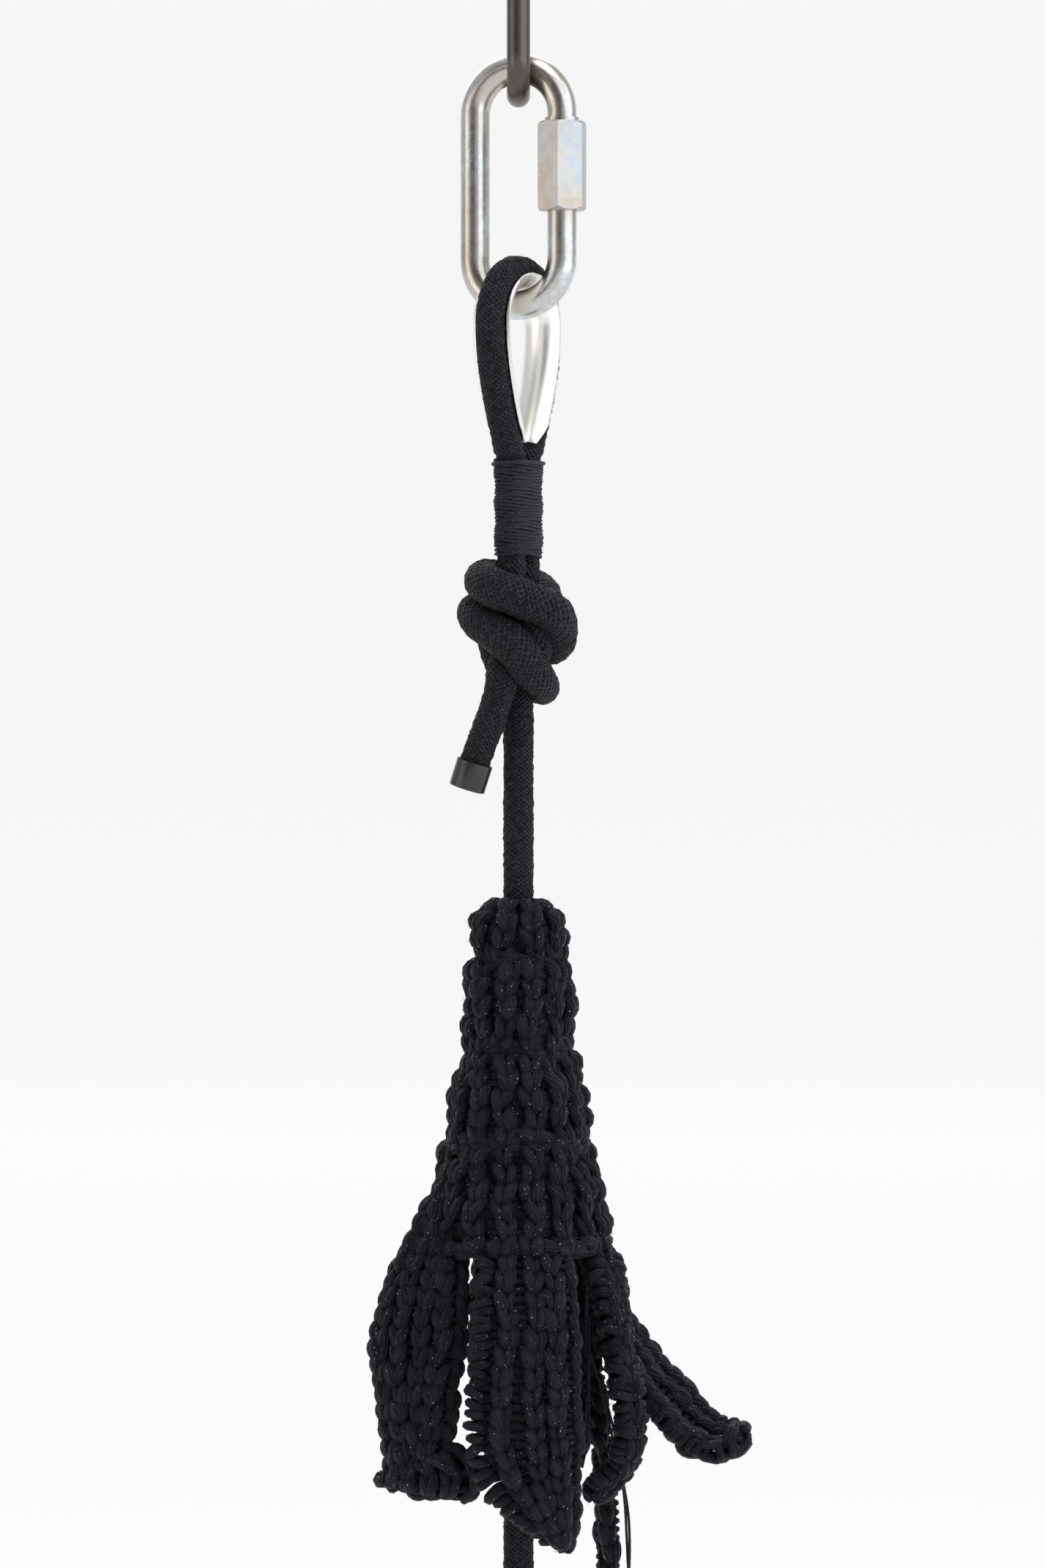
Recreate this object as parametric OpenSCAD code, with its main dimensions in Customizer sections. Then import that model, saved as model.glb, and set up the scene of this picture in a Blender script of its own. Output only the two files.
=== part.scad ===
// Hanging rope with a quick link, a thimble eye, a knot and a crocheted bell.
// Millimetres, +Z up. The origin is on the shank's axis at the beam's underside.

/* [Hanger] */
// Diameter of the threaded shank
shank_d = 10; // [8:1:14]
// Height of the shank above the beam's underside
shank_up = 40; // [25:1:60]
// Diameter of the bar of the eye
eye_bar_d = 7.8; // [6:0.1:9]
// Radius of the eye's bends, to the bar's centre
eye_bend_r = 13; // [12:0.5:18]
// Width across flats of the hanger nut
hanger_nut_af = 17; // [15:1:22]
// Height of the hanger nut
hanger_nut_h = 8; // [6:0.5:12]
// Diameter of the washer
washer_d = 24; // [20:1:34]
// Thickness of the washer
washer_t = 2; // [1.5:0.25:4]

/* [Quick link] */
// Diameter of the link's bar
link_d = 9.8; // [8:0.1:10]
// Radius of the link's end bows, to the bar's centre
link_bow_r = 15.5; // [14:0.5:20]
// Length of the link's straight legs
link_leg = 48.4; // [44:0.1:70]
// Turn of the link's plane about the vertical
link_turn = -20; // [-35:1:-5]
// Width of the gap that the sleeve nut closes
link_gap = 11; // [8:0.5:12]
// Width across flats of the sleeve nut
sleeve_af = 15; // [14:0.5:18]
// Length of the sleeve nut
sleeve_len = 29.7; // [24:0.1:34]

/* [Rope] */
// Diameter of the rope
rope_d = 10; // [8:0.2:10.2]
// Thickness of the thimble's metal
thimble_t = 1.2; // [0.8:0.1:1.6]
// Thickness of the whipping cord
whip_t = 1.1; // [0.8:0.1:2]
// Diameter of the end caps
cap_d = 12.2; // [11.8:0.1:15]
// Length of the end caps
cap_len = 9.6; // [8:0.2:16]

/* [Crochet] */
// Thickness of the crocheted fabric
yarn_t = 6; // [4:0.25:8]
// Outer radius of the crown
crown_r = 15.6; // [13:0.2:18]
// Outer radius of the second tier
tier2_r = 18.4; // [17:0.2:22]
// Outer radius of the third tier
tier3_r = 23.2; // [21:0.2:27]
// Outer radius of the last tier
tier4_r = 31.5; // [28:0.5:36]
// Thickness of the petals
petal_t = 6.6; // [4:0.2:9]

/* [Hidden] */

gunmetal = [0.16, 0.15, 0.15];
zinc = [0.74, 0.72, 0.68];
steel = [0.80, 0.80, 0.82];
cotton = [0.05, 0.05, 0.055];
plastic = [0.03, 0.03, 0.03];
eps = 0.01;
slack = 0.3;
nut_clear = 0.15;
neck_less = 0.4;                 // the shank's neck is thinner than its thread

// ---- levels
eye_low = -65.1;                 // centre of the bar at the eye's lowest point
eye_low_c = eye_low + eye_bend_r;
eye_top_c = -30;
link_top_c = eye_low + eye_bar_d / 2 + slack - link_bow_r + link_d / 2;
link_low_c = link_top_c - link_leg;
sleeve_top = link_top_c - 2.9;
sleeve_low = sleeve_top - sleeve_len;
gap_top = sleeve_top - 3.2;
collar_h = 1.2;
collar_r = link_d / 2 + 0.9;
eye_turn = 60;                   // turn of the rope eye's plane about the vertical
strand_r = 4.7;                  // rope squeezed by the whipping
strand_u = 4.8;                  // half the distance between the two strands
knot_rope_r = 3.7;               // rope squeezed hard inside the knot
whip_top = -187.6;
whip_low = -220.2;
neck_z = [-187, -190, -205, -220.4];
tip_z = -183.4;
bell_top = -336;
z12 = -354.4;
z23 = -385.3;
z34 = -415.3;
z45 = -451.7;
rope_end = -568;

// ---- half of the rope's centre line round the thimble: [distance from the axis, height]
eye_arc_c = -142.3;
eye_arc_r = 18.5;
eye_side = [[17.9, -151], [15.9, -160], [13.1, -168.5], [9.9, -176.5], [7, -183.4]];
eye_arc = [for (a = [0 : 15 : 165])
    [eye_arc_r * cos(180 - a), eye_arc_c + eye_arc_r * sin(180 - a)]];
eye_line = concat([for (i = [4 : -1 : 0]) [-eye_side[i][0], eye_side[i][1]]],
                  eye_arc,
                  [[eye_arc_r, eye_arc_c]],
                  eye_side);

// ---- the tail's leg and the main leg through the knot
tail_leg = [
    [-3, -3, -226.5], [-3.5, -2, -231], [-5, -1, -235.5], [-5.5, 1, -240], [-7.5, 3.5, -244],
    [-8, 5, -248.5], [-7, 5.5, -253.5], [-5, 7, -257.5], [-1.5, 8.5, -261], [3, 8, -263],
    [7, 5, -264], [8.5, 0.5, -264], [8, -4.5, -262.5], [6, -8, -260], [3, -10, -256.5],
    [0.5, -11.5, -252.5], [-3, -11, -248.5], [-6.5, -9, -246], [-10, -6, -243.5],
    [-13, -3, -241], [-14, 1, -238.5], [-12.5, 5, -236.5], [-9, 9, -235], [-6, 12, -233.5],
    [-1.5, 14.5, -233], [3.5, 14, -234], [7, 11.5, -236], [8.5, 7.5, -238.5], [7, 4, -242],
    [3.5, 2, -245], [0, 0.5, -247.5], [-3, -2.5, -250.5], [-4.5, -4.5, -254.5],
    [-5, -7, -259], [-6, -8, -264], [-8.8, -8.6, -273], [-10.6, -8.6, -278],
    [-12.4, -8.2, -282.5], [-14.3, -7.7, -288], [-16.8, -7, -296]];
main_leg = [
    [1.5, 4, -226], [1, 5.5, -230.5], [0, 6, -235.5], [-0.5, 8.5, -240], [0.5, 10.5, -244],
    [2.5, 10, -248.5], [6.5, 8, -251], [10, 5, -250.5], [12.5, 1.5, -248.5], [13, -2, -245],
    [13, -6, -242], [11.5, -9.5, -239], [7.5, -11.5, -236.5], [3, -12, -235], [-1.5, -12, -233],
    [-6, -10.5, -231.5], [-10, -8, -229.5], [-11.5, -3.5, -228], [-10.5, 1, -227], [-8, 5, -226],
    [-5, 9, -225], [-1.5, 12, -224.5], [3.5, 12.5, -225], [7.5, 10.5, -226.5], [9.5, 6.5, -229],
    [9, 2.5, -231.5], [7, -1, -235], [5, -3.5, -238.5], [4.5, -5.5, -243], [5.5, -6, -247.5],
    [6, -3.5, -251.5], [4, -1, -255], [1.5, 0, -259], [0, -0.5, -263.5], [0, 0, -273],
    [0, 0, -280], [0, 0, -300], [0, 0, rope_end]];
tail_tip = tail_leg[len(tail_leg) - 1];
tail_up = tail_leg[len(tail_leg) - 2] - tail_tip;

// ---- petals: [x, y, z, width], with one side direction each
left_pts = [[-28.5, -13, z45, 25], [-31.5, -17, -464, 32], [-33.8, -20, -480, 34.5],
    [-34.6, -21, -494, 32], [-34.5, -21, -508, 28], [-33.8, -19, -518, 26], [-31, -19, -526, 39],
    [-30.5, -17, -533, 30]];
front_pts = [[2.5, -27.5, z45, 31], [2.5, -33, -464, 34], [2.8, -36, -478, 35],
    [1.9, -38, -497, 37.5], [2.2, -38, -511, 39], [4, -36.5, -521, 36], [7, -35, -529, 30],
    [10.5, -33.5, -537, 22], [13.3, -32, -544, 14], [15.2, -31, -550, 6]];
curl_pts = [[26, -9, z45, 13], [30, -15, -464, 13], [33, -18, -480, 11], [36, -19, -498, 11],
    [37.2, -17, -511, 11], [34, -13, -523, 11], [28, -10, -530, 11], [22, -12, -534, 8]];
right_pts = [[26.5, 6.5, z45, 17], [29, 8, -463, 22], [32, 9, -477, 26], [40, 9.5, -490.5, 30],
    [50, 9.5, -501.5, 32], [59, 9.5, -511, 30], [67, 8.5, -516.5, 25], [74, 7.5, -514.5, 17],
    [77, 7, -511.5, 12]];
side_left_pts = [[-27.5, 11, z45, 20], [-35, 13, -466, 32], [-40, 15, -483, 38],
    [-41.5, 15, -500, 37], [-41, 14, -515, 32], [-39, 12, -530, 18]];
back_left_pts = [[-6, 27, z45, 17], [-5.5, 31, -466, 22], [-5, 34, -483, 24],
    [-5, 35, -500, 23], [-5, 32, -515, 19], [-5, 29, -528, 9]];
back_right_pts = [[16, 22.5, z45, 15], [17.5, 28, -466, 19], [18.5, 31, -483, 20],
    [18.5, 32, -500, 20], [18, 29, -515, 17], [17.5, 26, -526, 9]];
strip_pts = [[17, 10, z45, 11.5], [20, 11, -470, 11.5], [25, 11, -495, 11.5],
    [28.5, 9, -520, 11.5], [30, 8, -545, 11.5], [30, 8, -572, 11.5]];
left_side = [0.86, -0.45, 0];
front_side = [1, 0.05, 0];
curl_side = [0.8, 0.6, 0];
right_side = [0.24, 0.92, 0.3];
side_left_side = [0.1, 1, 0];
back_left_side = [0.98, 0.15, 0];
back_right_side = [0.82, -0.5, 0];
strip_side = [1, 0.2, 0];
long_pts = [[23.5, 1, -446], [20.5, 1, -451], [19.5, 1, -457], [19.5, 1, -467],
    [22, 1, -482], [27, 1, -496],
    [31.5, 1, -513], [34.6, 1, -528],
    [36.2, 0.5, -539], [36.8, 0.5, -549], [37, 0.5, -560], [37, 0.5, -569]];
short_pts = [[23.3, -3, -446], [22.6, -3, -456], [23, -3, -475], [23.4, -3, -500],
    [22.6, -3, -515], [21, -3, -525]];
yarn_tail_r = 1;
tube_sides = 12;
thin_sides = 8;

// ---- helpers
function unit(v) = v / norm(v);
function tangent(p, i) = unit(p[min(i + 1, len(p) - 1)] - p[max(i - 1, 0)]);
function square_to(v, t) = unit(v - (v * t) * t);
function carried_list(p, u) = [for (i = 0, w = square_to(u, tangent(p, 0)); i < len(p);
    i = i + 1, w = i < len(p) ? square_to(w, tangent(p, i)) : w) w];
function ends_faces(n, m) = concat([[for (k = [m - 1 : -1 : 0]) k]],
    [[for (k = [0 : m - 1]) (n - 1) * m + k]]);
function side_faces(n, m) = [for (i = [0 : n - 2], k = [0 : m - 1], h = [0 : 1])
    h == 0 ? [i * m + k, i * m + (k + 1) % m, (i + 1) * m + (k + 1) % m]
           : [i * m + k, (i + 1) * m + (k + 1) % m, (i + 1) * m + k]];

// a round tube along points p with the radii r
module tube(p, r, m, start) {
    w = carried_list(p, start);
    pts = [for (i = [0 : len(p) - 1], k = [0 : m - 1])
        let (t = tangent(p, i), v = cross(t, w[i]), a = 360 * k / m)
        p[i] + r[i] * (cos(a) * w[i] + sin(a) * v)];
    polyhedron(points = pts, faces = concat(ends_faces(len(p), m), side_faces(len(p), m)));
}

// a flat strip of crochet with rounded edges along points [x, y, z, width]
module ribbon(q, side, t) {
    m = 12;
    n = len(q);
    p = [for (c = q) [c[0], c[1], c[2]]];
    pts = [for (i = [0 : n - 1], k = [0 : m - 1])
        let (d = i == 0 ? [0, 0, -1] : tangent(p, i), s = square_to(side, d),
             o = cross(d, s), a = 360 * (k + 0.5) / m,
             half = q[i][3] / 2, e = min(t / 2, half))
        p[i] + s * (sign(cos(a)) * (half - e) + e * cos(a)) + o * (t / 2 * sin(a))];
    polyhedron(points = pts, faces = concat(ends_faces(n, m), side_faces(n, m)));
}

module hex_bar(af, h) {
    cylinder(r = af / sqrt(3), h = h, $fn = 6);
}

module round_bar_arc(bend_r, bar_r, angle) {
    rotate_extrude(angle = angle)
        translate([bend_r, 0])
            circle(r = bar_r);
}

module hanger_eye() {
    color(gunmetal)
        union() {
            translate([0, 0, eye_top_c])
                rotate([90, 0, 90])
                    round_bar_arc(eye_bend_r, eye_bar_d / 2, 180);
            translate([0, 0, eye_low_c])
                rotate([90, 0, 90])
                    rotate([0, 0, 180])
                        round_bar_arc(eye_bend_r, eye_bar_d / 2, 180);
            for (s = [-1, 1])
                translate([0, s * eye_bend_r, eye_low_c])
                    cylinder(d = eye_bar_d, h = eye_top_c - eye_low_c);
            translate([0, 0, eye_top_c + eye_bend_r])
                cylinder(d = shank_d - neck_less, h = -eye_top_c - eye_bend_r);
            cylinder(d = shank_d, h = shank_up);
        }
}

module hanger_nut() {
    color(zinc)
        translate([0, 0, -washer_t - hanger_nut_h])
            difference() {
                hex_bar(hanger_nut_af, hanger_nut_h);
                translate([0, 0, -1])
                    cylinder(d = shank_d + 2 * nut_clear, h = hanger_nut_h + 2);
            }
}

module hanger_washer() {
    color(zinc)
        translate([0, 0, -washer_t])
            difference() {
                cylinder(d = washer_d, h = washer_t);
                translate([0, 0, -1])
                    cylinder(d = shank_d + 2 * nut_clear, h = washer_t + 2);
            }
}

module link_body() {
    color(zinc)
        rotate([0, 0, link_turn])
            union() {
                translate([0, 0, link_top_c])
                    rotate([90, 0, 0])
                        round_bar_arc(link_bow_r, link_d / 2, 180);
                translate([0, 0, link_low_c])
                    rotate([90, 0, 0])
                        rotate([0, 0, 180])
                            round_bar_arc(link_bow_r, link_d / 2, 180);
                translate([-link_bow_r, 0, link_low_c])
                    cylinder(d = link_d, h = link_leg);
                translate([link_bow_r, 0, link_low_c])
                    cylinder(d = link_d, h = gap_top - link_gap - link_low_c);
                translate([link_bow_r, 0, gap_top])
                    cylinder(d = link_d, h = link_top_c - gap_top);
                translate([link_bow_r, 0, sleeve_top + 0.2])
                    cylinder(r = collar_r, h = collar_h);
            }
}

module link_sleeve_nut() {
    color(zinc)
        rotate([0, 0, link_turn])
            translate([link_bow_r, 0, sleeve_low])
                difference() {
                    intersection() {
                        rotate([0, 0, -80])
                            hex_bar(sleeve_af, sleeve_len);
                        union() {
                            cylinder(r1 = sleeve_af / 2, r2 = sleeve_af / 2 + 1.2, h = 1.2);
                            translate([0, 0, 1.2])
                                cylinder(r = sleeve_af / 2 + 1.2, h = sleeve_len - 2.4);
                            translate([0, 0, sleeve_len - 1.2])
                                cylinder(r1 = sleeve_af / 2 + 1.2, r2 = sleeve_af / 2, h = 1.2);
                        }
                    }
                    translate([0, 0, -1])
                        cylinder(d = link_d + 2 * nut_clear, h = sleeve_len + 2);
                }
}

// half-round channel round the inside of the rope's eye
module thimble() {
    inner = rope_d / 2 + 0.15;
    outer = inner + thimble_t;
    flare = 78;
    spread = 1.28;
    steps = 6;
    p = [for (c = eye_line) [c[0] * cos(eye_turn), c[0] * sin(eye_turn), c[1]]];
    across = [sin(eye_turn), -cos(eye_turn), 0];
    section = concat(
        [for (k = [0 : steps])
            let (a = -flare + 2 * flare * k / steps) [outer * cos(a), spread * outer * sin(a)]],
        [for (k = [steps : -1 : 0])
            let (a = -flare + 2 * flare * k / steps) [inner * cos(a), spread * inner * sin(a)]]);
    m = len(section);
    n = len(p);
    pts = [for (i = [0 : n - 1], k = [0 : m - 1])
        let (t = tangent(p, i), inward = cross(t, across))
        p[i] + section[k][0] * inward + section[k][1] * across];
    color(steel)
        polyhedron(points = pts, faces = concat(ends_faces(n, m), side_faces(n, m)));
}

module rope() {
    eye = [for (c = eye_line) [c[0] * cos(eye_turn), c[0] * sin(eye_turn), c[1]]];
    neck = [for (s = [-1, 1]) [for (z = neck_z)
        [s * strand_u * cos(eye_turn), s * strand_u * sin(eye_turn), z]]];
    tail_part = [for (i = [len(tail_leg) - 1 : -1 : 0]) tail_leg[i]];
    neck_a = [for (i = [len(neck_z) - 1 : -1 : 0]) neck[0][i]];
    line = concat(tail_part, neck_a, eye, neck[1], main_leg);
    a = len(tail_part);
    k = len(neck_z);
    b = a + k + len(eye);
    r = [for (i = [0 : len(line) - 1])
        i < 4 ? rope_d / 2
        : i < a - 1 ? knot_rope_r
        : i < a + k ? strand_r
        : i < b ? rope_d / 2
        : i < b + k ? strand_r
        : line[i][2] < -263.2 ? rope_d / 2 - (line[i][2] > -272 ? 1.3 : 0)
        : knot_rope_r];
    color(cotton)
        tube(line, r, tube_sides, [0, 1, 0]);
}

module two_strands(r, h) {
    for (s = [-1, 1])
        translate([s * strand_u, 0, 0])
            cylinder(r = r, h = h);
}

module whipping() {
    h = whip_top - whip_low;
    color(cotton)
        translate([0, 0, whip_low])
            rotate([0, 0, eye_turn])
                difference() {
                    union() {
                        two_strands(strand_r + whip_t, h);
                        translate([-strand_u, -strand_r - whip_t, 0])
                            cube([2 * strand_u, 2 * (strand_r + whip_t), h]);
                    }
                    translate([0, 0, -1])
                        two_strands(strand_r + 0.05, h + 2);
                    translate([-strand_u, -strand_r - 0.05, -1])
                        cube([2 * strand_u, 2 * strand_r + 0.1, h + 2]);
                }
}

module end_cap() {
    difference() {
        union() {
            cylinder(d = cap_d - 1.2, h = cap_len);
            translate([0, 0, 0.6])
                cylinder(d = cap_d, h = cap_len - 0.6);
        }
        translate([0, 0, 1.6])
            cylinder(d = rope_d + 0.1, h = cap_len);
    }
}

module tail_cap() {
    v = tail_up / norm(tail_up);
    color(plastic)
        translate(tail_tip)
            rotate([0, acos(v[2]), atan2(v[1], v[0])])
                translate([0, 0, -1.7])
                    end_cap();
}

module lower_cap() {
    color(plastic)
        translate([0, 0, rope_end - 1.7])
            end_cap();
}

module stop_winding() {
    color(cotton)
        translate([0, 0, z12 - 5])
            difference() {
                cylinder(r = crown_r - yarn_t - 0.6, h = 13);
                translate([0, 0, -1])
                    cylinder(d = rope_d + 0.1, h = 15);
            }
}

module bell_crown() {
    h = bell_top - z12;
    color(cotton)
        translate([0, 0, z12])
            rotate_extrude()
                polygon([[13.4, 0], [crown_r - 0.4, 4], [crown_r, 9], [crown_r - 1, 13.5],
                         [crown_r - 4, 17.2], [rope_d / 2 + 3, h],
                         [rope_d / 2 + 0.25, h - 2.5], [rope_d / 2 + 0.25, 8.4],
                         [crown_r - yarn_t - 0.3, 8.2], [crown_r - yarn_t - 0.3, 0]]);
}

// a tier from its lower edge up: five outer radii, and the wall's thickness inside them
module tier(r, h) {
    up = [0, 0.28, 0.55, 0.8, 1];
    outer = [for (i = [0 : 4]) [r[i], up[i] * h]];
    inner = [for (i = [4 : -1 : 0]) [r[i] - yarn_t + (i == 4 ? 1.2 : 0), up[i] * h]];
    rotate_extrude()
        polygon(concat(outer, inner));
}

module bell_tier_2() {
    color(cotton)
        translate([0, 0, z23])
            tier([tier2_r - 1.6, tier2_r - 0.2, tier2_r, tier2_r - 0.8, 14.6], z12 - z23);
}

module bell_tier_3() {
    color(cotton)
        translate([0, 0, z34])
            tier([tier3_r, tier3_r, tier3_r - 1, tier3_r - 3.4, 16.8], z23 - z34);
}

module bell_tier_4() {
    color(cotton)
        translate([0, 0, z45])
            tier([tier4_r, tier4_r - 1.7, tier4_r - 3.9, tier4_r - 5.9, 23.4], z34 - z45);
}

module petal_left() {
    color(cotton)
        ribbon(left_pts, left_side, petal_t);
}

module petal_front() {
    color(cotton)
        ribbon(front_pts, front_side, petal_t);
}

module petal_curl() {
    color(cotton)
        ribbon(curl_pts, curl_side, petal_t);
}

module petal_right() {
    color(cotton)
        ribbon(right_pts, right_side, petal_t);
}

module petal_side_left() {
    color(cotton)
        ribbon(side_left_pts, side_left_side, petal_t);
}

module petal_back_left() {
    color(cotton)
        ribbon(back_left_pts, back_left_side, petal_t);
}

module petal_back_right() {
    color(cotton)
        ribbon(back_right_pts, back_right_side, petal_t);
}

module hanging_strip() {
    color(cotton)
        ribbon(strip_pts, strip_side, petal_t);
}

module thin_yarn(p) {
    tube(p, [for (c = p) yarn_tail_r], thin_sides, [1, 0, 0]);
}

module yarn_tail_long() {
    color(cotton)
        thin_yarn(long_pts);
}

module yarn_tail_short() {
    color(cotton)
        thin_yarn(short_pts);
}

hanger_eye();
hanger_nut();
hanger_washer();
link_body();
link_sleeve_nut();
thimble();
rope();
whipping();
tail_cap();
lower_cap();
stop_winding();
bell_crown();
bell_tier_2();
bell_tier_3();
bell_tier_4();
petal_left();
petal_front();
petal_curl();
petal_right();
petal_side_left();
petal_back_left();
petal_back_right();
hanging_strip();
yarn_tail_long();
yarn_tail_short();
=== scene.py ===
"""Hanging rope with a quick link, a thimble eye, a knot and a crocheted bell."""
import bpy
import bmesh
import math
import random
from mathutils import Matrix, Vector


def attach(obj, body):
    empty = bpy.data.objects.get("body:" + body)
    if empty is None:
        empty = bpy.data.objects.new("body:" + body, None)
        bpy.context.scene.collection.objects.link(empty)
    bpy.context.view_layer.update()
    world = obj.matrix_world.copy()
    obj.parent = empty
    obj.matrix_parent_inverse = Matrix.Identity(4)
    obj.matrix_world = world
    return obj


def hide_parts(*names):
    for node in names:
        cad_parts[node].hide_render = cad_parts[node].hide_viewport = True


bl_info = {
    "name": "Hanging rope with crocheted bell",
    "version": (1, 0, 0),
    "blender": (4, 5, 0),
    "location": "View3D > Sidebar > Rope",
    "description": "Builds the looks of a knotted rope with a quick link and a crocheted bell",
    "category": "Object",
}

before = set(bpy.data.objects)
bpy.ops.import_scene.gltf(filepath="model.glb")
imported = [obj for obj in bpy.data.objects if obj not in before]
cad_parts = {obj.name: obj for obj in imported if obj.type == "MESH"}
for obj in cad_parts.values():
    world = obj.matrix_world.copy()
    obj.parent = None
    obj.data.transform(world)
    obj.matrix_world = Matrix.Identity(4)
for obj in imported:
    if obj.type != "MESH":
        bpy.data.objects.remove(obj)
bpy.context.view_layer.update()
MM = 0.001

# ---- places, in millimetres ----
# They are those of the CAD source, but the main leg's hidden back pass under the
# whipping runs up to 3 mm lower here.
EYE_TURN = math.radians(60)
EYE_ARC_C = -142.3
EYE_ARC_R = 18.5
EYE_SIDE = [(17.9, -151), (15.9, -160), (13.1, -168.5), (9.9, -176.5), (7, -183.4)]
NECK_Z = (-187, -190, -205, -220.4)
STRAND_U = 4.8
WHIP_TOP = -187.6
WHIP_LOW = -220.2
TAIL_LEG = [
    (-3, -3, -226.5), (-3.5, -2, -231), (-5, -1, -235.5), (-5.5, 1, -240), (-7.5, 3.5, -244),
    (-8, 5, -248.5), (-7, 5.5, -253.5), (-5, 7, -257.5), (-1.5, 8.5, -261), (3, 8, -263),
    (7, 5, -264), (8.5, 0.5, -264), (8, -4.5, -262.5), (6, -8, -260), (3, -10, -256.5),
    (0.5, -11.5, -252.5), (-3, -11, -248.5), (-6.5, -9, -246), (-10, -6, -243.5),
    (-13, -3, -241), (-14, 1, -238.5), (-12.5, 5, -236.5), (-9, 9, -235), (-6, 12, -233.5),
    (-1.5, 14.5, -233), (3.5, 14, -234), (7, 11.5, -236), (8.5, 7.5, -238.5), (7, 4, -242),
    (3.5, 2, -245), (0, 0.5, -247.5), (-3, -2.5, -250.5), (-4.5, -4.5, -254.5),
    (-5, -7, -259), (-6, -8, -264), (-8.8, -8.6, -273), (-10.6, -8.6, -278),
    (-12.4, -8.2, -282.5), (-14.3, -7.7, -288), (-16.8, -7, -296)]
MAIN_LEG = [
    (1.5, 4, -226), (1, 5.5, -230.5), (0, 6, -235.5), (-0.5, 8.5, -240), (0.5, 10.5, -244),
    (2.5, 10, -248.5), (6.5, 8, -251), (10, 5, -250.5), (12.5, 1.5, -248.5), (13, -2, -245),
    (13, -6, -242), (11.5, -9.5, -239), (7.5, -11.5, -236.5), (3, -12, -235), (-1.5, -12, -233),
    (-6, -10.5, -231.5), (-10, -8, -229.5), (-11.5, -3.5, -228), (-10.5, 1, -227), (-8, 5, -226),
    (-5, 9, -225.5), (-1.5, 12, -226), (3.5, 12.5, -227.5), (7, 10.5, -229.5), (8.5, 6.5, -231),
    (8.5, 2.5, -233), (7, -1, -235), (5, -3.5, -238.5), (4.5, -5.5, -243), (5.5, -6, -247.5),
    (6, -3.5, -251.5), (4, -1, -255), (1.5, 0, -259), (0, -0.5, -263.5), (0, 0, -273),
    (0, 0, -280), (0, 0, -300), (0, 0, -568)]
ROPE_END = -568
KNOT_TOP = -221.5
KNOT_LOW = -266
KNOT_SWELL = 1.7
Z45 = -451.7    # lower end of the last tier, where the petals begin

# tiers: name, stitch columns, outline as (height, radius) from the top down
TIERS = {
    "bell_crown": (9, [(-336.2, 7.5), (-338.5, 11.8), (-342, 14.8), (-346, 15.9),
        (-350.5, 15.4), (-354.2, 13.6)]),
    "bell_tier_2": (12, [(-354.6, 14.6), (-359, 17.4), (-367, 18.4), (-376, 18.4),
        (-385, 16.8)]),
    "bell_tier_3": (14, [(-385.6, 16.8), (-391, 19.8), (-399, 22.2), (-407, 23.2),
        (-415, 23.2)]),
    "bell_tier_4": (17, [(-415.6, 23.4), (-422, 25.5), (-431, 27.6), (-441, 29.6),
        (-451.5, 31.5)]),
}

# petals: [x, y, z, width], side direction, ribs on a face, bow across the width
PETALS = {
    "petal_left": ([(-28.5, -13, Z45, 25), (-31.5, -17, -464, 32), (-33.8, -20, -480, 34.5),
        (-34.6, -21, -494, 32), (-34.5, -21, -508, 28), (-33.8, -19, -518, 26),
        (-31, -19, -526, 39), (-30.5, -17, -533, 30)], (0.86, -0.45, 0), 4, 2.0),
    "petal_front": ([(2.5, -27.5, Z45, 31), (2.5, -33, -464, 34), (2.8, -36, -478, 35),
        (1.9, -38, -497, 37.5), (2.2, -38, -511, 39), (4, -36.5, -521, 36),
        (7, -35, -529, 30), (10.5, -33.5, -537, 22), (13.3, -32, -544, 14),
        (15.2, -31, -550, 6)], (1, 0.05, 0), 4, 2.0),
    "petal_curl": ([(26, -9, Z45, 13), (30, -15, -464, 13), (33, -18, -480, 11),
        (36, -19, -498, 11), (37.2, -17, -511, 11), (34, -13, -523, 11),
        (28, -10, -530, 11), (22, -12, -534, 8)], (0.8, 0.6, 0), 1, 0.0),
    "petal_right": ([(26.5, 6.5, Z45, 17), (29, 8, -463, 22), (32, 9, -477, 26),
        (40, 9.5, -490.5, 30), (50, 9.5, -501.5, 32), (59, 9.5, -511, 30),
        (67, 8.5, -516.5, 25), (74, 7.5, -514.5, 17), (77, 7, -511.5, 12)],
        (0.24, 0.92, 0.3), 3, 1.0),
    "petal_side_left": ([(-27.5, 11, Z45, 20), (-35, 13, -466, 32), (-40, 15, -483, 38),
        (-41.5, 15, -500, 37), (-41, 14, -515, 32), (-39, 12, -530, 18)],
        (0.1, 1, 0), 3, -1.5),
    "petal_back_left": ([(-6, 27, Z45, 17), (-5.5, 31, -466, 22), (-5, 34, -483, 24),
        (-5, 35, -500, 23), (-5, 32, -515, 19), (-5, 29, -528, 9)],
        (0.98, 0.15, 0), 2, -1.5),
    "petal_back_right": ([(16, 22.5, Z45, 15), (17.5, 28, -466, 19), (18.5, 31, -483, 20),
        (18.5, 32, -500, 20), (18, 29, -515, 17), (17.5, 26, -526, 9)],
        (0.82, -0.5, 0), 2, -1.5),
    "hanging_strip": ([(17, 10, Z45, 11.5), (20, 11, -470, 11.5), (25, 11, -495, 11.5),
        (28.5, 9, -520, 11.5), (30, 8, -545, 11.5), (30, 8, -572, 11.5)],
        (1, 0.2, 0), 1, 0.0),
}
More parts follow.
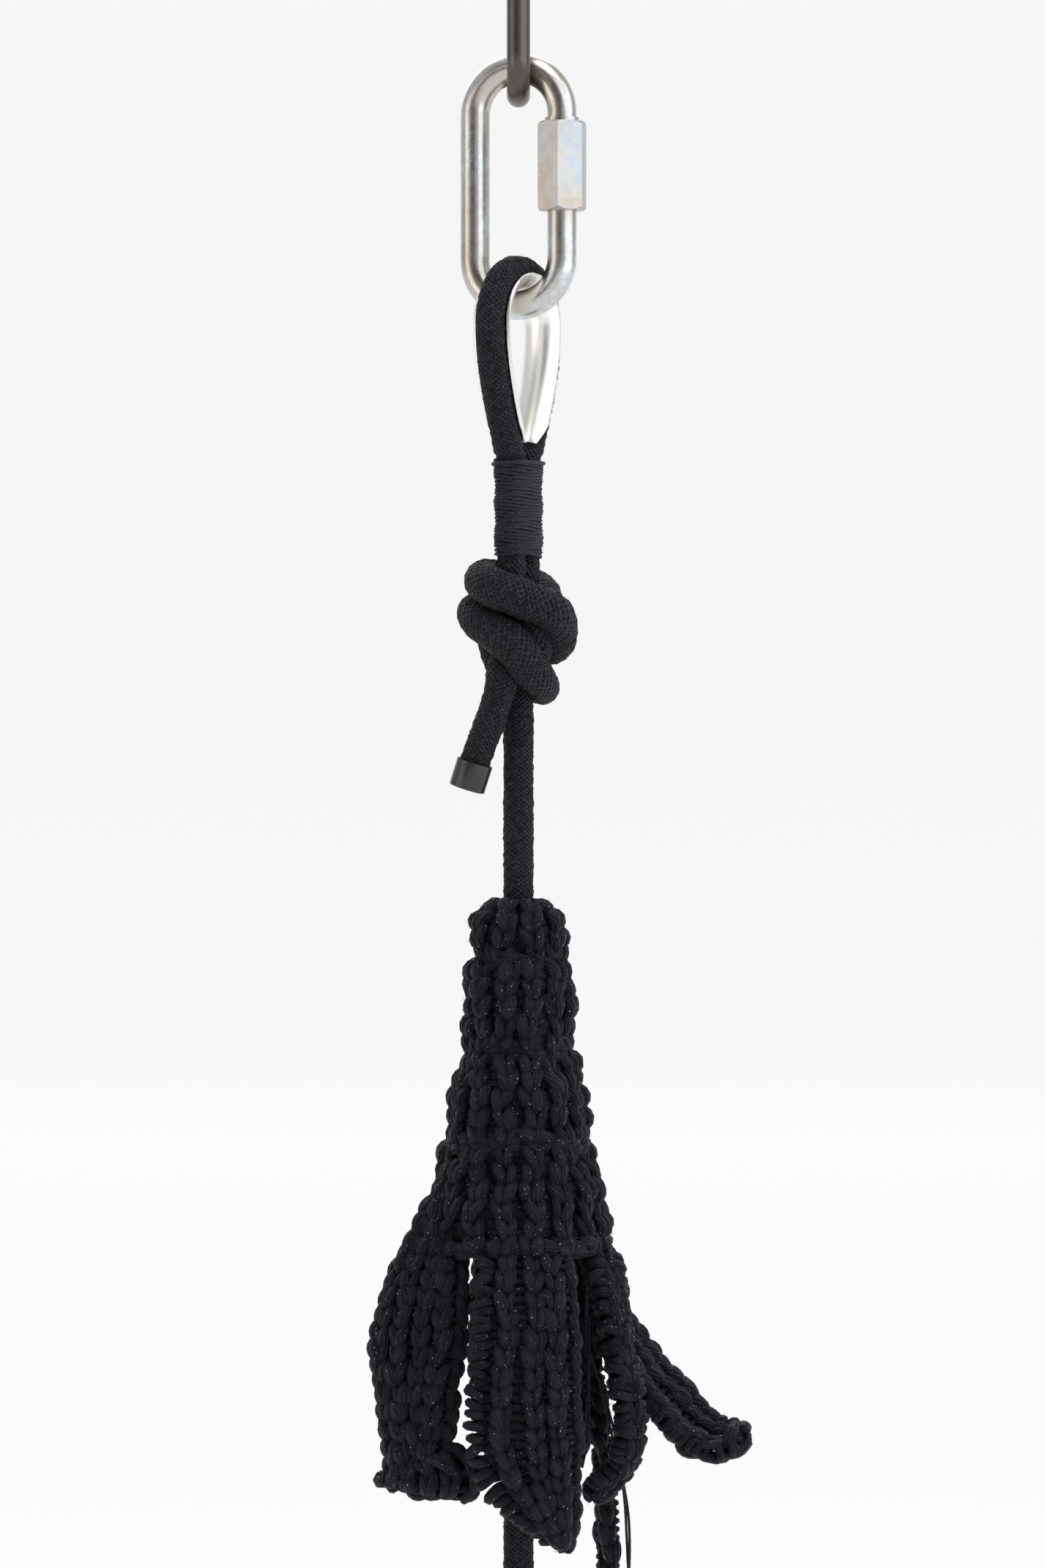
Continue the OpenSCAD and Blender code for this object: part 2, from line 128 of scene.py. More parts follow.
# points before a petal's first one, places of its ribs across it, which of its edges are
# coiled, which ends are rolled, and how much thicker a coiled edge starts
LEAD_IN = {"petal_left": [(-21, -7.5, -430, 14), (-25, -10.5, -441, 21)]}
LANES = {"petal_front": (-0.5, 0.2, 0.72), "petal_left": (-0.95, -0.4, 0.2, 0.8)}
COILED = {"petal_front": (-1,), "petal_right": (1, -1), "petal_curl": (1, -1)}
ROLLED = ("petal_left",)
HEADS = {"petal_curl": 0.45}
LONG_TAIL = [(23.5, 1, -446), (20.5, 1, -451), (19.5, 1, -457), (19.5, 1, -467),
    (22, 1, -482), (27, 1, -496), (31.5, 1, -513), (34.6, 1, -528),
    (36.2, 0.5, -539), (36.8, 0.5, -549), (37, 0.5, -560), (37, 0.5, -569)]
SHORT_TAIL = [(23.3, -3, -446), (22.6, -3, -456), (23, -3, -475), (23.4, -3, -500),
    (22.6, -3, -515), (21, -3, -525)]


# ---- curves ----
def clamp(value, low=0.0, high=1.0):
    return max(low, min(high, value))


def angle(k, count):
    """The angle of step k, with count steps in a full turn."""
    return 2 * math.pi * k / count


def polar(radius, a, z):
    return Vector((radius * math.cos(a), radius * math.sin(a), z))


def vectors(points):
    """Points in millimetres as vectors."""
    return [Vector(p[:3]) for p in points]


def smooth_line(points, parts):
    """Catmull-Rom curve through tuples of any length, with parts steps in each span."""
    pts = [tuple(map(float, p)) for p in points]
    first = tuple(2 * a - b for a, b in zip(pts[0], pts[1]))
    last = tuple(2 * a - b for a, b in zip(pts[-1], pts[-2]))
    run = [first] + pts + [last]
    out = []
    for i in range(1, len(run) - 2):
        for k in range(parts):
            t = k / parts
            out.append(tuple(
                0.5 * (2 * b + (c - a) * t + (2 * a - 5 * b + 4 * c - d) * t * t
                       + (3 * b - a - 3 * c + d) * t ** 3)
                for a, b, c, d in zip(*run[i - 1:i + 3])))
    out.append(pts[-1])
    return out


def summed(spans):
    """The distance to each point of a line, from the lengths of its spans."""
    lengths = [0.0]
    for span in spans:
        lengths.append(lengths[-1] + span)
    return lengths


def span_at(lengths, s):
    """The span that holds distance s, and how far along that span it lies."""
    at = 0
    while at < len(lengths) - 2 and lengths[at + 1] < s:
        at += 1
    return at, (s - lengths[at]) / max(lengths[at + 1] - lengths[at], 1e-9)


def even_line(points, step):
    """The same line with points one step apart."""
    pts = [Vector(p) for p in points]
    lengths = summed((b - a).length for a, b in zip(pts, pts[1:]))
    count = max(2, round(lengths[-1] / step))
    out = []
    for k in range(count + 1):
        at, t = span_at(lengths, lengths[-1] * k / count)
        out.append(pts[at].lerp(pts[at + 1], t))
    return out


def line_length(points):
    return sum((b - a).length for a, b in zip(points, points[1:]))


def tangents(points):
    last = len(points) - 1
    return [(points[min(i + 1, last)] - points[max(i - 1, 0)]).normalized()
            for i in range(last + 1)]


def eye_half(side):
    """Half of the eye, from its crown down to the whipping, on one side."""
    arc = [(EYE_ARC_R * math.sin(a), EYE_ARC_C + EYE_ARC_R * math.cos(a))
           for a in map(math.radians, range(0, 91, 15))]
    flat = arc + EYE_SIDE + [(STRAND_U, z) for z in NECK_Z]
    return [(side * u * math.cos(EYE_TURN), side * u * math.sin(EYE_TURN), z) for u, z in flat]


# ---- meshes ----
def mesh_piece(name, verts, faces, material):
    mesh = bpy.data.meshes.new(name)
    mesh.from_pydata(verts, [], faces)
    mesh.materials.append(material)
    piece = bpy.data.objects.new(name, mesh)
    bpy.context.scene.collection.objects.link(piece)
    return piece


class Yarns:
    """Collects tubes of yarn into one mesh, with a UV map that runs along each yarn."""

    def __init__(self):
        self.verts, self.faces, self.uvs = [], [], []

    def tube(self, line, radii, sides, start=(0, 1, 0), closed=False):
        """One yarn; closed joins its ends."""
        count = len(line)
        tans = tangents(line)
        if closed:
            tans = [(line[(i + 1) % count] - line[i - 1]).normalized() for i in range(count)]
        side = Vector(start)
        base = len(self.verts)
        run = 0.0
        along = []
        for i, (p, t) in enumerate(zip(line, tans)):
            side = (side - side.dot(t) * t).normalized()
            across = t.cross(side)
            r = radii[i] if isinstance(radii, (list, tuple)) else radii
            for k in range(sides):
                a = angle(k, sides)
                self.verts.append((p + r * (math.cos(a) * side + math.sin(a) * across)) * MM)
            along.append(run)
            if i + 1 < count:
                run += (line[i + 1] - p).length
        along.append(run)
        spans = count if closed else count - 1
        for i in range(spans):
            for k in range(sides):
                n = (k + 1) % sides
                j = (i + 1) % count
                self.faces.append((base + i * sides + k, base + i * sides + n,
                                   base + j * sides + n, base + j * sides + k))
                v0, v1 = along[i], along[i + 1]
                self.uvs.append(((k / sides, v0), ((k + 1) / sides, v0),
                                 ((k + 1) / sides, v1), (k / sides, v1)))
        if not closed:
            for ring, order in ((0, -1), (count - 1, 1)):
                loop = [base + ring * sides + k for k in range(sides)][::order]
                self.faces.append(tuple(loop))
                self.uvs.append(tuple((k / sides, along[ring]) for k in range(sides)))

    def piece(self, name, material):
        """The finished piece, smooth, with its UV map in millimetres along the yarn."""
        piece = mesh_piece(name, self.verts, self.faces, material)
        mesh = piece.data
        flat = [c for face in self.uvs for uv in face for c in uv]
        mesh.uv_layers.new(name="along").data.foreach_set("uv", flat)
        mesh.polygons.foreach_set("use_smooth", [True] * len(mesh.polygons))
        mesh.update()
        return piece


def finish_modifier(piece, kind, **settings):
    """Adds a modifier to a piece, which is left as the only one selected, and applies it."""
    bpy.ops.object.select_all(action="DESELECT")
    piece.select_set(True)
    bpy.context.view_layer.objects.active = piece
    modifier = piece.modifiers.new(kind.title(), kind)
    for key, value in settings.items():
        setattr(modifier, key, value)
    bpy.ops.object.modifier_apply(modifier=modifier.name)


# ---- shader maths ----
class Value:
    """A socket with the usual operators."""

    def __init__(self, look, socket):
        self.look, self.socket = look, socket

    def _math(self, operation, *others):
        return self.look.node("ShaderNodeMath", {"operation": operation}, [self, *others])

    def __add__(self, other):
        return self._math("ADD", other)

    def __sub__(self, other):
        return self._math("SUBTRACT", other)

    def __mul__(self, other):
        return self._math("MULTIPLY", other)

    __radd__ = __add__
    __rmul__ = __mul__

    def sine(self):
        return self._math("SINE")

    def above(self, edge):
        return self._math("GREATER_THAN", edge)

    def highest(self, other):
        return self._math("MAXIMUM", other)


class Tree:
    """A node tree; its noises read one texture coordinate, called place."""

    def __init__(self, tree, coordinate):
        self.tree = tree
        self.place = Value(self, tree.nodes.new("ShaderNodeTexCoord").outputs[coordinate])

    def link(self, value, socket):
        """Links a Value to an input, or sets the input to a plain value."""
        if isinstance(value, Value):
            self.tree.links.new(value.socket, socket)
        else:
            socket.default_value = value

    def node(self, kind, settings=None, inputs=None):
        """A new node; inputs are listed in order or given by name."""
        made = self.tree.nodes.new(kind)
        for key, value in (settings or {}).items():
            setattr(made, key, value)
        pairs = inputs.items() if isinstance(inputs, dict) else enumerate(inputs or [])
        for key, value in pairs:
            self.link(value, made.inputs[key])
        return Value(self, made.outputs[0])

    def noise(self, scale, detail=2.0, rough=0.5):
        return self.node("ShaderNodeTexNoise", None,
                         {"Vector": self.place, "Scale": scale, "Detail": detail,
                          "Roughness": rough})

    def ramp(self, value, stops):
        """A colour ramp through stops of (position, colour)."""
        made = self.node("ShaderNodeValToRGB", None, [value])
        ramp = made.socket.node.color_ramp
        while len(ramp.elements) < len(stops):
            ramp.elements.new(0.5)
        for stop, (at, colour) in zip(ramp.elements, stops):
            stop.position = at
            stop.color = (*colour, 1)
        return made

    def step(self, value, low, high):
        """0 below low, 1 above high, and straight between them."""
        return self.ramp(value, ((low, (0, 0, 0)), (high, (1, 1, 1))))

    def parts(self, vector):
        """The three numbers of a vector."""
        made = self.node("ShaderNodeSeparateXYZ", None, [vector]).socket.node
        return [Value(self, part) for part in made.outputs]

    def blend(self, factor, first, second):
        """A colour between two others."""
        made = self.tree.nodes.new("ShaderNodeMix")
        made.data_type = "RGBA"
        self.link(factor, made.inputs[0])
        for key, colour in ((6, first), (7, second)):
            self.link(colour if isinstance(colour, Value) else (*colour, 1.0), made.inputs[key])
        return Value(self, made.outputs[2])


class Look(Tree):
    """A procedural material round one Principled shader."""

    def __init__(self, name, **constants):
        self.material = bpy.data.materials.new(name)
        self.material.use_nodes = True
        super().__init__(self.material.node_tree, "Object")
        self.shader = self.tree.nodes["Principled BSDF"]
        for key, value in constants.items():
            self.shader.inputs[key.replace("_", " ")].default_value = value

    def fibres(self, scale, dark, bright):
        """Patches of fibres that take a painted highlight: 0 where the noise is below dark, 1
        above bright.
        """
        return self.step(self.noise(scale, 4.0, rough=0.75), dark, bright)

    def along(self):
        """The two UV numbers: round the yarn and millimetres along it."""
        return self.parts(self.node("ShaderNodeUVMap", {"uv_map": "along"}))[:2]

    def feed(self, **links):
        for key, value in links.items():
            self.tree.links.new(value.socket, self.shader.inputs[key.replace("_", " ")])

    def bump(self, height, strength, distance):
        made = self.node("ShaderNodeBump", None,
                         {"Height": height, "Strength": strength, "Distance": distance})
        self.feed(Normal=made)
        return self.material


def times(factor, colour):
    return tuple(factor * c for c in colour)


def dark_metal(colour):
    """Dark bronze-grey bar: satin, with soft rubbed patches."""
    look = Look("gunmetal_bar", Metallic=0.85)
    cloud = look.noise(60.0, 3.0)
    grain = look.noise(900.0, 2.0)
    look.feed(Base_Color=look.blend(cloud, colour, times(2.4, colour)),
              Roughness=0.22 + 0.14 * cloud)
    return look.bump(grain, 0.15, 0.0001)


def plated_metal(name, colour, warm, cool, rough, stained=0.55, grain=0.16):
    """Zinc or bright steel, with warm and cool stains and a fine speckle."""
    look = Look(name, Metallic=1.0)
    speck = look.noise(1300.0, 2.0)
    streak = look.noise(420.0, 3.0)
    patch = look.step(look.noise(38.0, 3.0), 0.40, 0.58)
    mottle = look.step(look.noise(260.0, 4.0, rough=0.7), 0.44, 0.6)
    tint = look.blend(patch, warm, cool)
    base = look.blend(stained * mottle + 0.2 * streak, colour, tint)
    dots = look.node("ShaderNodeTexVoronoi", None, {"Vector": look.place, "Scale": 420.0})
    look.feed(Base_Color=base, Roughness=rough + 0.16 * streak)
    return look.bump(0.6 * speck + 0.4 * dots, grain, 0.00012)


def braided_cotton(colour, fleck):
    """Fine herringbone braid of cotton yarns with pale flecks, painted shade in the grooves
    between its strands and painted highlights on its crests and fibres.
    """
    look = Look("braided_cotton", Specular_IOR_Level=0.18, Sheen_Weight=0.03, Sheen_Roughness=0.5)
    turn, run = look.along()
    strands, slope = 16, 4.2
    sway = 2.6 * look.noise(420.0, 2.0)
    wave_a = (turn * (2 * math.pi * strands) + slope * run + sway).sine()
    wave_b = (turn * (2 * math.pi * strands) - slope * run + sway).sine()
    ribs = wave_a.highest(wave_b)
    crossing = 0.5 + 0.5 * (wave_a * wave_b)
    fibre = look.noise(2600.0, 3.0)
    shade = look.noise(140.0, 2.0)
    spots = look.noise(2100.0, 0.0).above(0.715)
    # painted shade: the grooves between the braid's strands are darkened to a fifth of the colour
    body = look.blend(0.25 + 0.75 * ribs, times(0.2, colour), colour)
    # painted highlight: patches of fibres, brightest on the strands' crests, are lightened up to
    # seven times the colour
    highlight_mask = look.fibres(620.0, 0.44, 0.66)
    painted_highlight = look.blend((0.25 + 0.5 * ribs + 0.25 * shade) * highlight_mask, body, times(7.0, colour))
    look.feed(Base_Color=look.blend(0.5 * spots, painted_highlight, fleck), Roughness=0.55 + 0.15 * fibre)
    return look.bump(0.7 * ribs + 0.3 * crossing + 0.55 * fibre, 1.0, 0.0009)


def spun_yarn(name, colour, fleck, twist, spark, highlight_scale=560.0):
    """Yarn of many filaments laid side by side, with tiny bright flecks, painted shade between its
    threads and painted highlights on patches of fibres.
    """
    look = Look(name, Specular_IOR_Level=0.22, Sheen_Weight=0.02, Sheen_Roughness=0.45)
    turn, run = look.along()
    threads, filaments = 9, 23
    thread = (turn * (2 * math.pi * threads) + twist * run).sine()
    fine = (turn * (2 * math.pi * filaments) + 1.7 * twist * run).sine()
    fibre = look.noise(1900.0, 2.0)
    shade = look.noise(95.0, 2.0)
    spots = look.noise(1700.0, 0.0).above(spark)
    # painted shade: the hollows between the threads are darkened to a quarter of the colour
    body = look.blend(0.5 + 0.3 * thread + 0.2 * fine, times(0.25, colour), colour)
    # painted highlight: patches of fibres are lightened up to five and a half times the colour;
    # the last argument sets their size
    highlight_mask = look.fibres(highlight_scale, 0.42, 0.74)
    painted_highlight = look.blend((0.45 + 0.35 * thread + 0.2 * shade) * highlight_mask, body, times(5.5, colour))
    look.feed(Base_Color=look.blend(0.65 * spots, painted_highlight, fleck), Roughness=0.44 + 0.2 * fibre)
    return look.bump(0.6 * thread + 0.3 * fine + 0.35 * fibre, 0.9, 0.0006)


def cap_plastic(colour):
    """Satin black moulded cap."""
    look = Look("cap_black", Specular_IOR_Level=0.6)
    cloud = look.noise(260.0, 3.0)
    grain = look.noise(2400.0, 2.0)
    look.feed(Base_Color=look.blend(cloud, colour, times(1.6, colour)),
              Roughness=0.2 + 0.12 * cloud)
    return look.bump(grain, 0.12, 0.0001)


LOOKS = {}   # materials that several pieces share
LEGS = {}    # the rope's two legs, each with its middle line


# ---- settings ----
def colour_prop(name, text, value):
    return bpy.props.FloatVectorProperty(name=name, description=text, subtype="COLOR", size=3,
                                         min=0.0, max=1.0, default=value)


class RopeSettings(bpy.types.PropertyGroup):
    """Sizes and colours of the rope and of its metal parts."""
    rope_radius: bpy.props.FloatProperty(
        name="Rope radius", description="Half of the rope's width, in millimetres",
        default=5.0, min=4.0, max=5.6)
    neck_radius: bpy.props.FloatProperty(
        name="Neck radius", description="Half of a strand under the whipping, in millimetres",
        default=4.7, min=4.0, max=5.0)
    whip_radius: bpy.props.FloatProperty(
        name="Whipping cord radius", description="Half of the whipping cord, in millimetres",
        default=0.62, min=0.3, max=1.0)
    whip_turns: bpy.props.IntProperty(
        name="Whipping turns", description="Turns of cord round the two strands",
        default=29, min=10, max=40)
    cotton: colour_prop("Cotton", "Colour of the rope", (0.0070, 0.0068, 0.0098))
    fleck: colour_prop("Fleck", "Colour of the pale flecks", (0.10, 0.10, 0.11))
    bar: colour_prop("Bar", "Colour of the dark bar", (0.064, 0.056, 0.050))
    zinc: colour_prop("Zinc", "Colour of the plated link", (0.52, 0.51, 0.48))
    cap: colour_prop("Cap", "Colour of the end caps", (0.009, 0.0095, 0.011))


class CrochetSettings(bpy.types.PropertyGroup):
    """Sizes and colours of the crocheted bell."""
    yarn_radius: bpy.props.FloatProperty(
        name="Yarn radius", description="Half of the thick yarn, in millimetres",
        default=2.0, min=1.0, max=2.4)
    stitch_pitch: bpy.props.FloatProperty(
        name="Stitch pitch", description="Length of one stitch along a rib, in millimetres",
        default=6.2, min=3.0, max=9.0)
    row_pitch: bpy.props.FloatProperty(
        name="Row pitch", description="Distance between the rows behind the ribs, in millimetres",
        default=3.0, min=2.0, max=5.0)
    yarn: colour_prop("Yarn", "Colour of the yarn", (0.0036, 0.0040, 0.0088))
    spark: colour_prop("Spark", "Colour of the bright flecks", (0.85, 0.86, 0.90))


# ---- crochet ----
# how far the random draws go, in millimetres or as shares of a size
LEAN, LIFT, SLIP, SIZES = 0.6, (-0.8, 1.0), 0.1, (0.76, 1.26)
SWING, GROWTH = 0.8, (0.85, 1.2)
LEG_SPANS, LEG_SIDES = 6, 7
LEG_SPLAY = 0.27               # a leg's first place beside the rib, as a share of the width
LEG_SUNK, LEG_RISE = 1.1, 2.2  # depth of a leg's ends, and the height of its arch
LEG_REACH = 1.4                # length of a leg in stitches, so that each runs into the next


def stitch_leg(yarns, rng, where, side, width, pitch, radius):
    """One leg of a stitch; where(s, b, n) gives a point from the rib's own lengths."""
    lean = rng.uniform(-LEAN, LEAN)
    lift = rng.uniform(*LIFT)
    slip = rng.uniform(-SLIP, SLIP)
    size = radius * rng.uniform(*SIZES)
    line, radii = [], []
    for k in range(LEG_SPANS + 1):
        t = k / LEG_SPANS
        b = side * (LEG_SPLAY * width * (1 - t) ** 0.85 + 0.01 * width) + lean * t
        n = -LEG_SUNK + (LEG_RISE + lift) * math.sin(math.pi * min(1.0, 0.1 + 0.78 * t))
        line.append(where((0.02 + slip + LEG_REACH * t) * pitch, b, n))
        radii.append(size * max(0.35, math.sin(math.pi * (0.12 + 0.78 * t))) ** 0.6)
    yarns.tube(line, radii, LEG_SIDES)


def rib(yarns, rng, place, length, width, pitch, radius):
    """A column of V stitches; place(s, b, n) gives points along the rib."""
    count = max(1, round(length / pitch))
    step = length / count
    for i in range(count):
        start = i * step
        swing = rng.uniform(-SWING, SWING)
        grow = rng.uniform(*GROWTH)

        def where(s, b, n, start=start, swing=swing, grow=grow):
            return place(min(start + s, length), b * grow + swing, n)

        for side in (1, -1):
            stitch_leg(yarns, rng, where, side, width, step, radius)


def tier_piece(name, settings, rng):
    """Rows of yarn round the rope, and ribs of stitches standing on them."""
    columns, outline = TIERS[name]
    dense = smooth_line(outline, 8)
    yarns = Yarns()
    radius = settings.yarn_radius
    lengths = summed(math.hypot(b[0] - a[0], b[1] - a[1]) for a, b in zip(dense, dense[1:]))
    total = lengths[-1]

    def profile(s):
        """Height and radius at s, and the direction out of the tier as (radial, upward)."""
        at, t = span_at(lengths, clamp(s, 0.0, total))
        (z, r), (z_next, r_next) = dense[at], dense[at + 1]
        dz, dr = z_next - z, r_next - r
        size = math.hypot(dz, dr)
        return z + dz * t, r + dr * t, -dz / size, dr / size

    phase = rng.uniform(0, 6)

    def wobble(a, z):
        return (0.8 * math.sin(3 * a + 0.21 * z + phase) + 0.6 * math.sin(5 * a - 0.33 * z)
                + 0.35 * math.sin(9 * a + 0.61 * z))

    rows = round(total / settings.row_pitch)
    ring_steps = 72
    for row in range(rows + 1):
        z, r = profile(total * row / rows)[:2]
        ring = []
        for k in range(ring_steps):
            a = angle(k, ring_steps)
            wave = 0.35 * math.sin(columns * a) + 0.2 * math.sin(5 * a + row)
            rr = r - radius * 2.3 + wave + wobble(a, z)
            ring.append(polar(rr, a, z + 0.25 * math.sin(7 * a + row)))
        yarns.tube(ring, radius * 1.05, 8, start=(0, 0, 1), closed=True)
    least_reach = 4.0
    for column in range(columns):
        turn = angle(column + 0.5, columns) - math.pi / 2
        drift = rng.uniform(-0.2, 0.2)

        def place(s, b, n, turn=turn, drift=drift):
            z, r, out_r, out_z = profile(s)
            reach = r - radius
            a = turn + drift * (s / total - 0.5) + b / max(reach, least_reach)
            a += 0.9 / max(reach, least_reach) * math.sin(0.36 * s + 5 * turn + phase)
            return polar(reach + n * out_r + wobble(a, z), a, z + n * out_z)

        width = min(9.4, 2 * math.pi * sum(p[1] for p in outline) / len(outline) / columns * 0.96)
        rib(yarns, rng, place, total, width, settings.stitch_pitch, radius)

    # a chain of stitches round each end, but none at the crown's gathered top
    ends = ((1.6, 0.95), (total - 0.8, 1.05))
    for level, size in ends[1:] if name == "bell_crown" else ends:
        z, r, out_r, out_z = profile(level)
        reach = r - radius * 1.35

        def ring_place(s, b, n, z=z, reach=reach, out_r=out_r, out_z=out_z):
            return polar(reach + n * out_r, s / reach, z - b + n * out_z)

        rib(yarns, rng, ring_place, 2 * math.pi * reach, 5.4, settings.stitch_pitch * 0.9,
            radius * size)
    return yarns


def petal_frame(name):
    """Its middle line's frame at a length, a point from (along, across, out), its length."""
    points, side, _, bow = PETALS[name]
    dense = smooth_line(LEAD_IN.get(name, []) + points, 8)
    centres = vectors(dense)
    widths = [max(p[3], 3.0) for p in dense]
    lengths = summed((b - a).length for a, b in zip(centres, centres[1:]))
    tans = tangents(centres)
    total = lengths[-1]

    def at(s):
        i, t = span_at(lengths, clamp(s, 0.0, total))
        centre = centres[i].lerp(centres[i + 1], t)
        tan = tans[i].lerp(tans[i + 1], t).normalized()
        width = widths[i] + (widths[i + 1] - widths[i]) * t
        across = Vector(side)
        across = (across - across.dot(tan) * tan).normalized()
        return centre, tan, across, tan.cross(across), width

    def point(s, b, n):
        centre, tan, across, out, width = at(s)
        over = max(0.0, s - total) + min(0.0, s)
        bend = -bow * (2 * b / width) ** 2 if width > 6 else 0.0
        return centre + across * b + out * (n + bend) + tan * over

    return at, point, total


def petal_piece(name, settings, rng):
    """A crocheted strip: rows across it, ribs along both faces and a border on each edge."""
    ribs = PETALS[name][2]
    at, point, total = petal_frame(name)
    yarns = Yarns()
    radius = settings.yarn_radius
    rows = round((total - 2) / settings.row_pitch)
    thin = 1.2
    thick = 0.7 if name in LANES else 1.15
    ring_steps = 28
    for row in range(rows + 1):
        s = thin + (total - 2 * thin) * row / rows
        half = at(s)[4] / 2 - thin
        ring = []
        edge = max(half - 1.6, 0.6)
        for k in range(ring_steps):
            a = angle(k, ring_steps)
            b = edge * clamp(1.25 * math.cos(a), -1.0, 1.0)
            n = thick * math.sin(a) * (1 + 0.12 * math.sin(3 * b + row))
            ring.append(point(s + 0.2 * math.sin(b + row), b, n))
        yarns.tube(ring, thin, 6, start=at(s)[1], closed=True)
    lanes = [0.0] if ribs == 1 else [(2 * j / (ribs - 1) - 1) for j in range(ribs)]
    lanes = LANES.get(name, lanes)
    for face in (1, -1):
        for lane in lanes:
            sway = rng.uniform(-0.4, 0.4)

            def place(s, b, n, lane=lane, face=face, sway=sway):
                width = at(s)[4]
                reach = max(0.0, width / 2 - 4.6)
                squeeze = min(1.0, width / (7.0 * ribs))
                return point(s, lane * reach + sway + b * squeeze * face, face * (1.9 + n))

            rib_width = 8.4 if ribs > 1 else 7.4
            rib(yarns, rng, place, total - 3.0, rib_width, settings.stitch_pitch, radius)
    if ribs > 1 or name in COILED:
        for edge_side in (1, -1):
            if edge_side in COILED.get(name, ()):
                coiled_edge(yarns, rng, at, point, total, edge_side, HEADS.get(name, 0.0))
                continue

            def rim(s, b, n, edge_side=edge_side):
                width = at(s)[4]
                return point(s, edge_side * (width / 2 - 2.2 + 0.8 * n), b * edge_side * 0.8)
            rib(yarns, rng, rim, total, 7.0, settings.stitch_pitch * 0.85, radius * 0.95)
    if name in ROLLED:
        rolled_end(yarns, rng, at, point, total, settings)
    return yarns


def coiled_edge(yarns, rng, at, point, total, edge_side, head=0.0):
    """A border of loops stacked crosswise along one edge, thicker by head at its top."""
    head_length, loop_pitch, loop_steps = 18, 3.1, 12
    border = total - 6

    def swell(s):
        return 1 + head * max(0.0, 1 - s / head_length)

    count = round(border / loop_pitch)
    for k in range(count):
        s = 4 + border * k / count
        centre_b = edge_side * (at(s)[4] / 2 - 3.0)
        s += rng.uniform(-0.5, 0.5)
        centre_b += rng.uniform(-0.5, 0.5)
        wide = 2.5 * rng.uniform(0.75, 1.3) * swell(s)
        tall = 2.3 * rng.uniform(0.8, 1.35) * swell(s)
        tilt = rng.uniform(-1.5, 1.5)
        ring = []
        for j in range(loop_steps):
            a = angle(j, loop_steps)
            ring.append(point(s + tilt * math.cos(a), centre_b + wide * math.cos(a),
                              tall * math.sin(a)))
        yarns.tube(ring, 1.6 * rng.uniform(0.85, 1.15), 6, start=at(s)[1], closed=True)


def rolled_end(yarns, rng, at, point, total, settings):
    """A thick border across a petal's lower end that curls up towards its outer face."""
    for turn, size in ((0.0, 1.0), (1.1, 0.95), (2.2, 0.9)):
        width = at(total - 2)[4] - 3.5

        def lip(s, b, n, turn=turn, width=width):
            across = s - width / 2
            hollow = 3.2 * math.cos(math.pi * across / width) ** 2
            reach = 1.2 + 0.9 * n
            a = turn + b / 3.2
            return point(total - 4.0 + hollow + reach * math.cos(a), across,
                         -2.0 - 2.6 * (1 - math.cos(turn)) - reach * math.sin(a))

        rib(yarns, rng, lip, width, 6.5, settings.stitch_pitch * 0.9,
            settings.yarn_radius * size)


def fuzz(yarns, rng, line, radius, count, reach):
    """Loose fibres standing out of a cord's surface."""
    tans = tangents(line)
    for _ in range(count):
        i = rng.randrange(1, len(line) - 1)
        t = tans[i]
        out = Vector((rng.gauss(0, 1), rng.gauss(0, 1), rng.gauss(0, 1)))
        out = (out - out.dot(t) * t).normalized()
        root = line[i] + out * (radius - 0.15)
        lean = t * rng.uniform(-0.9, 0.9) + out.cross(t) * rng.uniform(-0.6, 0.6)
        span = reach * rng.uniform(0.4, 1.0)
        tip = root + (out * 0.55 + lean * 0.6) * span
        mid = root.lerp(tip, 0.5) + out * 0.25 * span
        yarns.tube([root, mid, tip], [0.07, 0.05, 0.025], 3)


def hairs(yarns, rng, count):
    """Loose fibres standing out of the yarns already made."""
    spots = [rng.randrange(len(yarns.faces)) for _ in range(count)]
    for spot in spots:
        corners = [yarns.verts[i] for i in yarns.faces[spot]]
        root = sum(corners, Vector()) / len(corners) / MM
        out = (corners[1] - corners[0]).cross(corners[2] - corners[1]).normalized()
        lean = Vector((rng.uniform(-1, 1), rng.uniform(-1, 1), rng.uniform(-1, 1)))
        span = rng.uniform(0.7, 2.0)
        mid = root + (0.8 * out + 0.4 * lean) * span * 0.5
        tip = mid + (0.3 * out + 0.9 * lean) * span * 0.5
        yarns.tube([root - 0.1 * out, mid, tip], [0.07, 0.06, 0.03], 3)


# ---- operators ----
def place_piece(piece, body, node):
    """Says what a piece moves with and what it stands for."""
    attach(piece, body)
    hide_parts(node)


class ROPE_OT_metal(bpy.types.Operator):
    """Finishes the hanger, the quick link and its sleeve nut"""
    bl_idname = "rope.metal"
    bl_label = "Metal parts"

    def execute(self, context):
        rope = context.scene.rope_settings
        LOOKS["bar"] = dark_metal(tuple(rope.bar))
        LOOKS["zinc"] = plated_metal("zinc_plating", tuple(rope.zinc), (0.50, 0.42, 0.31),
                                     (0.70, 0.80, 0.88), 0.17)
        LOOKS["nut"] = plated_metal("zinc_nut", tuple(rope.zinc), (0.46, 0.40, 0.31),
                                    (0.36, 0.50, 0.66), 0.34)
        for node, look in (("hanger_eye", "bar"), ("hanger_nut", "nut"), ("hanger_washer", "zinc"),
                           ("link_body", "zinc"), ("link_sleeve_nut", "nut")):
            mesh = bpy.data.objects[node].data
            mesh.materials.clear()
            mesh.materials.append(LOOKS[look])
        return {"FINISHED"}


